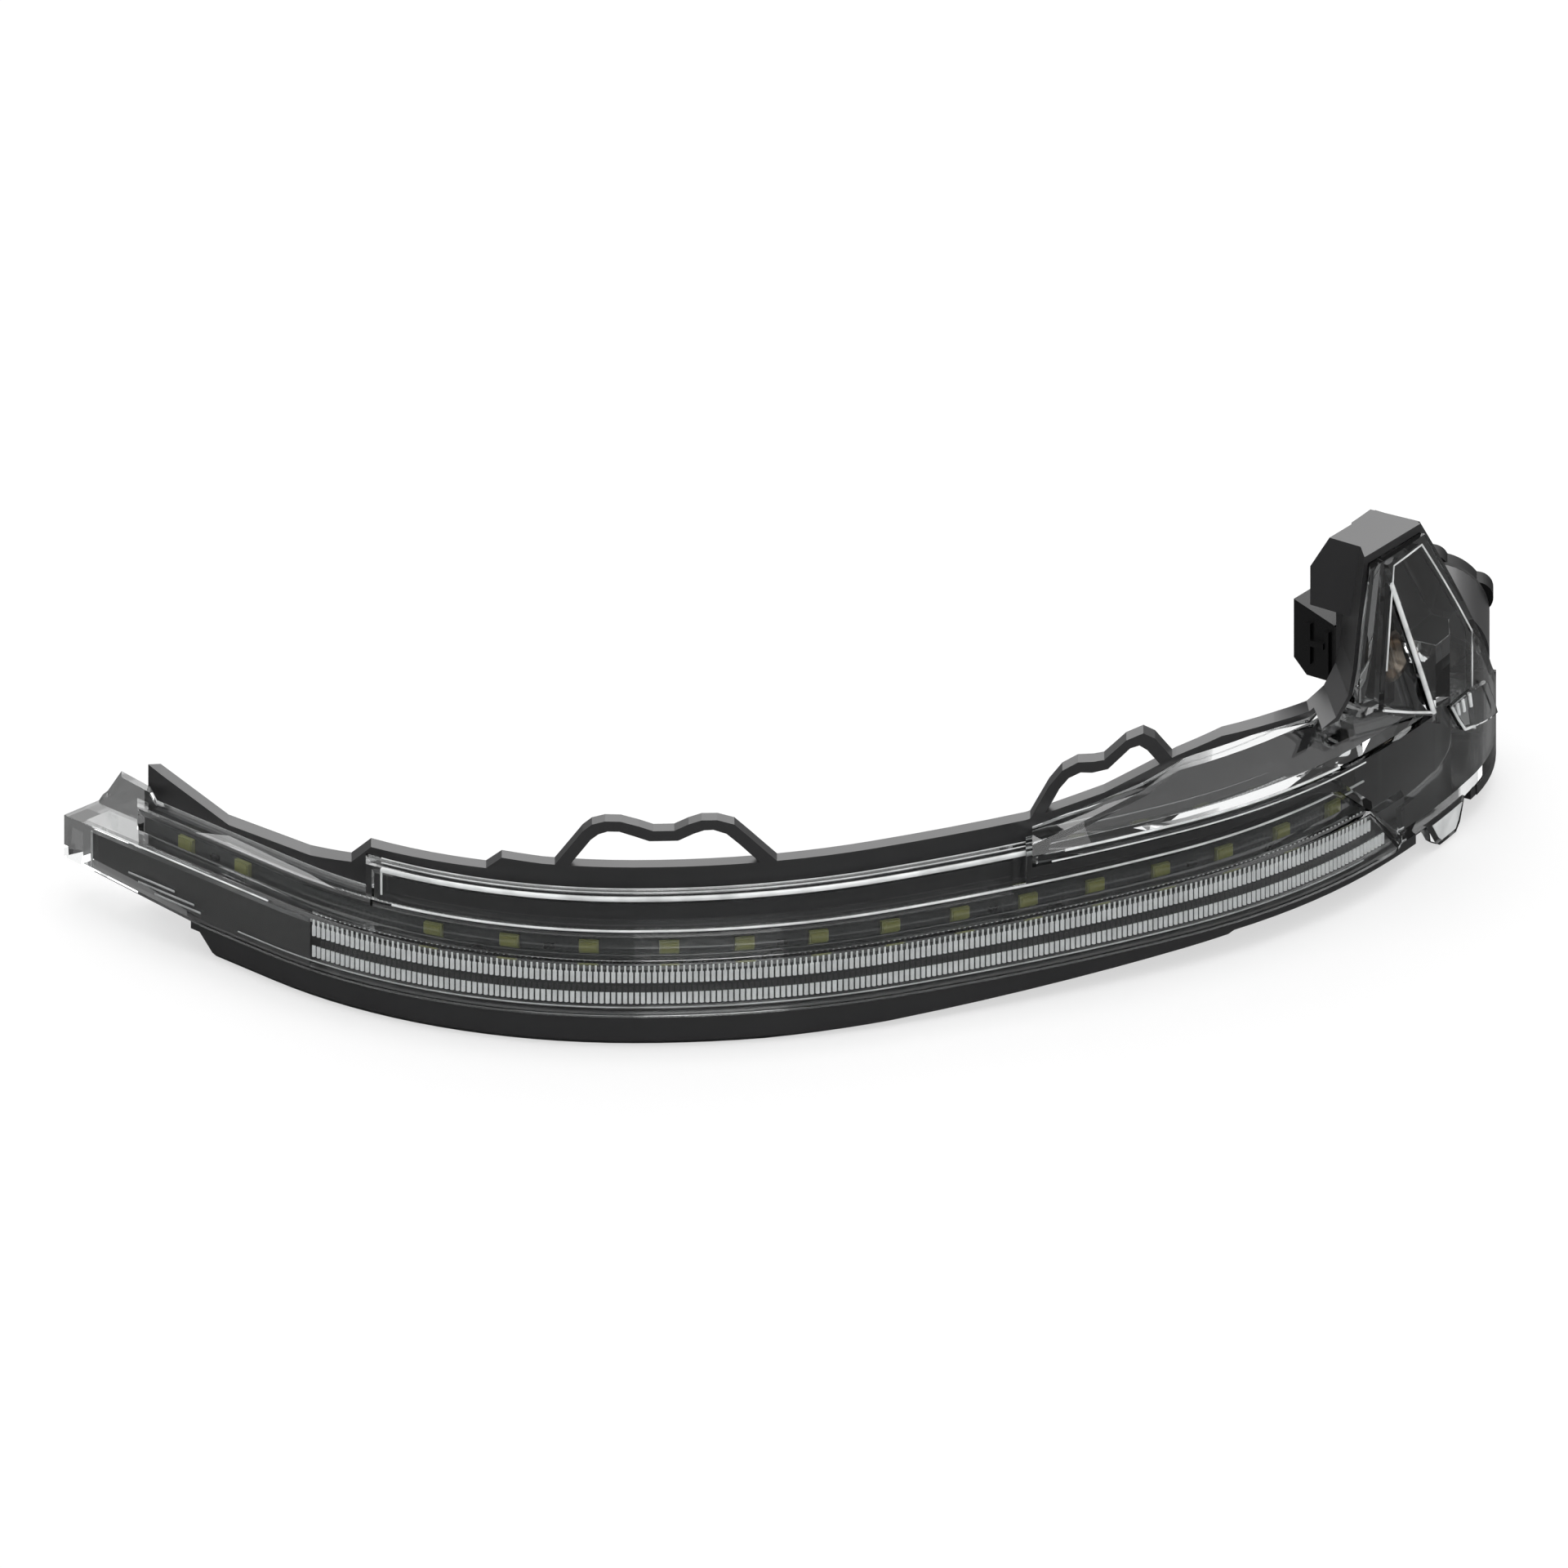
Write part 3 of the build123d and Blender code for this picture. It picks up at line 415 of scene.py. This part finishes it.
def add_block(form, corners):
    """A block from its eight corners in millimetres: four round the bottom, then four above them."""
    verts = [form.verts.new(Vector(corner) * MM) for corner in corners]
    for face in ((0, 3, 2, 1), (4, 5, 6, 7), (0, 1, 5, 4), (1, 2, 6, 5), (2, 3, 7, 6), (3, 0, 4, 7)):
        form.faces.new([verts[n] for n in face])


def add_on_wall(form, near, far, ends):
    """A block on the back wall between two distances along the plan curve, from its lower to its upper end."""
    corners = []
    for height, depth in ends:
        for distance, inset in ((near, 0), (far, 0), (far, depth), (near, depth)):
            spot, _ = on_plan(distance, STIFFENER_ROOT_MM + inset)
            corners.append((spot.x, spot.y, height))
    add_block(form, corners)


stiffeners = bmesh.new()
for distance in STIFFENER_SPOTS_MM:
    add_on_wall(stiffeners, distance - STIFFENER_WIDTH_MM / 2, distance + STIFFENER_WIDTH_MM / 2,
                STIFFENER_ENDS_MM)
for distance in range(STIFFENER_SPOTS_MM[0], STIFFENER_SPOTS_MM[-1], STRINGER_STEP_MM):
    add_on_wall(stiffeners, distance, distance + STRINGER_STEP_MM, STRINGER_ENDS_MM)
bmesh.ops.remove_doubles(stiffeners, verts=stiffeners.verts, dist=WELD_MM * MM)
finish_piece("housing_stiffeners", stiffeners, satin_abs)


# Painted grey: a thin grey pad on the left half of the clip on the knee stands for the even grey that the
# clear clip shows there in the light. It lies just behind the lens's face.
CLIP_PAD_MM = ((20.1, 22.4), (24.0, 17.9), (25.6, 17.4), (24.6, 22.4))  # across, height
CLIP_PAD_INSETS_MM = (0.45, 0.55)
clip_face = bmesh.new()
add_pad(clip_face, CLIP_PAD_MM, CLIP_PAD_INSETS_MM)

# The painted grey is light and even, with a fine grain
painted_clip_grey = grained("painted grey on clip", "b8baba", "c6c8c8", roughness=0.5, grain_mm=0.3, depth_mm=0.01)
finish_piece("clip_painted_grey", clip_face, painted_clip_grey)


# A strip of trim closes the bar's left end, in front of where the guide starts. It is moulded of dark grey ABS
# with the housing's spark texture, which looks softer and paler than the black, and snaps in behind the lens.
grey_abs = grained("dark grey ABS", "4a4a4a", "525252", roughness=0.45, grain_mm=SPARK_GRAIN_MM, depth_mm=0.02)
wear(nodes["end_bezel"], grey_abs)


# The plug housing behind the leg is moulded of glass filled nylon, and the driver chip's body looks the same.
# Glass filled nylon is a deeper and shinier black than the housing, with a grain as long as its fibres.
nylon = grained("black glass filled nylon", "0b0b0c", "101011", roughness=0.28, grain_mm=0.25, depth_mm=0.02)
for name in ("connector_shell", "driver_chip"):
    wear(nodes[name], nylon)

# Two guide ribs and a latch bar are moulded on the plug housing's outside
LEG_HEADING = radians(55)  # the way that the leg and the plug stand in plan
PLUG_RIBS_MM = (  # along the leg, back from it, height
    ((4.6, 5.2), (14.2, 15.0), (30.4, 37.6)),
    ((4.6, 5.2), (17.6, 18.4), (31.4, 38.2)),
    ((4.3, 5.2), (15.0, 17.6), (34.6, 35.6)),
)
plug_form = bmesh.new()
ahead = Vector((cos(LEG_HEADING), sin(LEG_HEADING), 0))
behind = Vector((-sin(LEG_HEADING), cos(LEG_HEADING), 0))
for (near, far), (front, back), heights in PLUG_RIBS_MM:
    corners = []
    for height in heights:
        for a, b in ((near, front), (far, front), (far, back), (near, back)):
            corners.append(LEG_SPOT_MM.to_3d() + ahead * a + behind * b + Vector((0, 0, height)))
    add_block(plug_form, corners)
finish_piece("plug_ribs", plug_form, nylon)


# The bulb holder turns into the pod behind the knee. It is moulded of heat-proof nylon in an eroded tool, which
# leaves it matt, so it stays black from every side. The erosion's grain is drawn coarser than it is.
HOLDER_SHINE = 0.25
matt_nylon = grained("matt black nylon", "060607", "0a0a0b", roughness=0.5, grain_mm=0.3, depth_mm=0.02)
matt_nylon.node_tree.nodes["Principled BSDF"].inputs["Specular IOR Level"].default_value = HOLDER_SHINE
wear(nodes["lamp_holder"], matt_nylon)


# The boards are thin glass fibre sheet under solder mask, screwed to the housing. The mask is a smooth dark
# coat, in which the weave of the glass cloth below, about 0.6 mm, just shows.
solder_mask = grained("dark solder mask", "323434", "3c3e3e", roughness=0.4, grain_mm=0.6, depth_mm=0.01)
for name in ("strip_board", "leg_board"):
    wear(nodes[name], solder_mask)


# The boards carry the light chips, soldered on: each a small moulded body with a cap of phosphor in silicone.
# Both look olive yellow and nearly matt when they are off. Their grain is drawn coarser than it is.
chip_body = grained("chip moulding", "84875a", "8f9260", roughness=0.4, grain_mm=0.3, depth_mm=0.01)
for name in ("strip_leds", "leg_led"):
    wear(nodes[name], chip_body)

phosphor = grained("phosphor silicone", "7e8044", "8c8e4c", roughness=0.5, grain_mm=0.2, depth_mm=0.01)
for name in ("strip_led_caps", "leg_led_cap"):
    wear(nodes[name], phosphor)


# The resistors soldered between the chips are ceramic under a black glaze, which is glassy and a little uneven.
resistor_glaze = grained("glazed resistor", "101012", "18181a", roughness=0.2, grain_mm=0.2, depth_mm=0.01)
wear(nodes["board_resistors"], resistor_glaze)


# The five board screws are turned steel with a black zinc finish, driven through the board into the housing.
# The finish looks dark grey and half matt, with a crystal grain that is drawn coarser than it is.
zinc_steel = grained("black zinc plated steel", "343536", "3e3f40",
                     roughness=0.4, grain_mm=0.15, depth_mm=0.005, metallic=1.0)
wear(nodes["board_screws"], zinc_steel)


# The cup in the leg is moulded ABS, lacquered and vacuum metallised, and clips in behind the leg's lens. It
# mirrors the room softly and slightly warm in tone, over the lacquer's ripple of about 0.8 mm.
metallised = grained("metallised reflector", "84796d", "958a7e",
                     roughness=0.2, grain_mm=0.8, depth_mm=0.005, metallic=1.0)
wear(nodes["leg_reflector"], metallised)


# The seals of the plug and the bulb holder are rings of EPDM rubber, pressed in as these are fitted. Rubber is
# dull and nearly black, with a moulded grain.
seal_rubber = grained("matt seal rubber", "161616", "1d1d1d", roughness=0.75, grain_mm=0.3, depth_mm=0.03)
for name in ("connector_seal", "holder_seal"):
    wear(nodes[name], seal_rubber)


# The contact pins are tinned brass pressed into the plug, and the bush in the lug is turned of the same brass.
# Both look pale gold and bright, with the fine marks of the tin drawn coarser than they are.
pin_brass = grained("tinned brass", "c6ba90", "d4c8a0",
                    roughness=0.25, grain_mm=0.3, depth_mm=0.005, metallic=1.0)
for name in ("connector_pins", "lug_bush"):
    wear(nodes[name], pin_brass)


# The vent is a disc of porous plastic film welded on the box. It is pale grey and quite dull, with its pores
# drawn coarser than they are.
vent_film = grained("porous vent film", "8e8e8c", "a0a09e", roughness=0.9, grain_mm=0.25, depth_mm=0.03)
wear(nodes["vent_membrane"], vent_film)


# The bulb is blown glass with a light smoke in it, set in the holder. What stands behind it shows through
# dimmed, and the smoke is a little uneven.
SMOKE_CLOUD_MM = 3
bulb_glass, tree, shader = new_material("smoked bulb glass")
place = add_node(tree, "ShaderNodeTexCoord")
add_clouds(tree, shader, place, "4a4540", "5e5850", SMOKE_CLOUD_MM, detail=1.0)
shader.inputs["Roughness"].default_value = 0.1
shader.inputs["IOR"].default_value = 1.5
shader.inputs["Transmission Weight"].default_value = 0.6
wear(nodes["bulb"], bulb_glass)


# The flat jumper between the two boards is polyimide film under a black cover film, soldered at both ends. The
# cover film is satin, with a faint ripple from the glue under it.
cover_film = grained("black jumper cover film", "1c1b1a", "242220",
                     roughness=0.45, grain_mm=0.8, depth_mm=0.005)
wear(nodes["flex_jumper"], cover_film)


# Painted shade: a thin black sheet lies on the flat top of the solid block behind the leg's right facet, so
# that no light from above shows there. It stops a little inside the top's edge.
SHADE_SHEET_OUTLINE_MM = (
    (116.92, 73.67), (121.9, 70.79), (122.61, 72.12), (123.31, 73.46), (124.0, 74.8),
    (124.0, 80.53), (121.17, 82.17), (119.81, 79.3), (118.4, 76.47),
)
SHADE_SHEET_SHARE = 0.975
SHADE_SHEET_HEIGHTS_MM = (34.01, 34.08)
shade_sheet = bmesh.new()
middle = sum((Vector(spot) for spot in SHADE_SHEET_OUTLINE_MM), Vector((0, 0))) / len(SHADE_SHEET_OUTLINE_MM)
spots = [middle + SHADE_SHEET_SHARE * (Vector(spot) - middle) for spot in SHADE_SHEET_OUTLINE_MM]
low, high = ([shade_sheet.verts.new(Vector((*spot, height)) * MM) for spot in spots] for height in SHADE_SHEET_HEIGHTS_MM)
for n in range(len(spots)):
    shade_sheet.faces.new((low[n - 1], low[n], high[n], high[n - 1]))
shade_sheet.faces.new(low[::-1])
shade_sheet.faces.new(high)

# The painted shade is matt black and takes no shine through the facet, with a fine grain. Its grain is drawn
# coarser than it is. The record's nearest finish is the jumper's dark film.
painted_shade = grained("painted shade sheet", "141414", "1a1a1a", roughness=0.85, grain_mm=0.3, depth_mm=0.01)
finish_piece("lens_painted_shade", shade_sheet, painted_shade)


# The floor is a wide sheet of matt white card, with the lamp standing on it. The camera sees it mostly as plain
# white with the lamp's shadow on it, and the lamp mirrors it as grey.
FLOOR_SIDE = 12.0
FLOOR_DROP_MM = 0.2
BACKDROP_SHARE = 0.6

floor_white, tree, shader = new_material("white studio floor")
tree.nodes.remove(shader)
ray = add_node(tree, "ShaderNodeLightPath")
card = add_node(tree, "ShaderNodeBsdfDiffuse", {"Color": linear("f6f6f6")})
dusk = add_node(tree, "ShaderNodeBsdfDiffuse", {"Color": linear("6a6a6a")})
glow = add_node(tree, "ShaderNodeEmission", {"Strength": 1.0})
share = add_node(tree, "ShaderNodeMath", {"operation": "MULTIPLY"}, {0: ray.outputs["Is Camera Ray"]})
share.inputs[1].default_value = BACKDROP_SHARE
page = add_node(tree, "ShaderNodeMixShader",
                links={"Fac": share.outputs["Value"], 1: card.outputs["BSDF"], 2: glow.outputs["Emission"]})
pick = add_node(tree, "ShaderNodeMixShader",
                links={"Fac": ray.outputs["Is Glossy Ray"], 1: page.outputs["Shader"], 2: dusk.outputs["BSDF"]})
tree.links.new(pick.outputs["Shader"], tree.nodes["Material Output"].inputs["Surface"])

floor_form = bmesh.new()
bmesh.ops.create_grid(floor_form, x_segments=1, y_segments=1, size=FLOOR_SIDE / 2)
mesh = bpy.data.meshes.new("studio_floor")
floor_form.to_mesh(mesh)
floor_form.free()
floor = bpy.data.objects.new("studio_floor", mesh)
floor.location = (0, 0, -FLOOR_DROP_MM * MM)
bpy.context.scene.collection.objects.link(floor)
wear(floor, floor_white)


# The room is white where the camera sees it, also through the lens. Where the lamp mirrors it, it is dark at
# floor level and white from a third of the way up, and the light that it gives falls off downwards too.
ROOM_LEVELS = (0.1, 1.0)  # at floor level, straight up
MIRRORED_LEVELS = (0.12, 1.0)  # at floor level, from MIRRORED_TOP up
MIRRORED_TOP = 0.35

world = bpy.data.worlds.new("studio")
bpy.context.scene.world = world
world.use_nodes = True
tree = world.node_tree
tree.nodes.clear()
ray = add_node(tree, "ShaderNodeLightPath")
way = add_node(tree, "ShaderNodeTexCoord")
axes = add_node(tree, "ShaderNodeSeparateXYZ", links={"Vector": way.outputs["Generated"]})
seen = add_node(tree, "ShaderNodeMath", {"operation": "MAXIMUM"},
                {0: ray.outputs["Is Camera Ray"], 1: ray.outputs["Is Transmission Ray"]})
sky = add_node(tree, "ShaderNodeMapRange",
               {"From Min": 0.0, "From Max": MIRRORED_TOP,
                "To Min": MIRRORED_LEVELS[0], "To Max": MIRRORED_LEVELS[1]},
               {"Value": axes.outputs["Z"]})
mirrored = add_node(tree, "ShaderNodeMath", {"operation": "MULTIPLY"},
                    {0: ray.outputs["Is Glossy Ray"], 1: sky.outputs["Result"]})
shown = add_node(tree, "ShaderNodeMath", {"operation": "MAXIMUM"},
                 {0: seen.outputs["Value"], 1: mirrored.outputs["Value"]})
given = add_node(tree, "ShaderNodeMapRange",
                 {"From Min": 0.0, "From Max": 1.0, "To Min": ROOM_LEVELS[0], "To Max": ROOM_LEVELS[1]},
                 {"Value": axes.outputs["Z"]})
level = add_node(tree, "ShaderNodeMath", {"operation": "MAXIMUM"},
                 {0: given.outputs["Result"], 1: shown.outputs["Value"]})
room = add_node(tree, "ShaderNodeBackground", {"Color": linear("ffffff")},
                {"Strength": level.outputs["Value"]})
add_node(tree, "ShaderNodeOutputWorld", links={"Surface": room.outputs["Background"]})


# Three square soft boxes light the lamp evenly: a wide one above it, one behind and a weak one in front.
SOFT_BOXES = (  # name, place and side in metres, power in watts
    ("top_box", (0.2, 0.1, 1.4), 1.2, 9.0),
    ("back_box", (0.1, 1.6, 0.9), 1.2, 6.0),
    ("front_box", (0.3, -1.2, 0.9), 0.6, 2.0),
)
LIT_SPOT = Vector((0.02, 0.04, 0.02))

for name, spot, side, power in SOFT_BOXES:
    light = bpy.data.lights.new(name, "AREA")
    light.size = side
    light.energy = power
    soft_box = bpy.data.objects.new(name, light)
    soft_box.location = spot
    soft_box.rotation_mode = "QUATERNION"
    soft_box.rotation_quaternion = (LIT_SPOT - Vector(spot)).to_track_quat("-Z", "Y")
    bpy.context.scene.collection.objects.link(soft_box)


# The camera looks from in front and 25 degrees above, in parallel view, as the photograph does.
VIEW_ELEVATION = radians(25)
VIEW_DISTANCE = 2.4
VIEW_WIDTH = 0.240
LOOK_AT = Vector((0.023, 0.0502, 0.020))

view = bpy.data.cameras.new("camera")
view.type = "ORTHO"
view.ortho_scale = VIEW_WIDTH
view.clip_start = 0.1
view.clip_end = 50.0
camera = bpy.data.objects.new("camera", view)
away = Vector((0, -cos(VIEW_ELEVATION), sin(VIEW_ELEVATION)))
camera.location = LOOK_AT + away * VIEW_DISTANCE
camera.rotation_mode = "QUATERNION"
camera.rotation_quaternion = (-away).to_track_quat("-Z", "Y")
bpy.context.scene.collection.objects.link(camera)
bpy.context.scene.camera = camera
bpy.context.scene.view_settings.view_transform = "Standard"
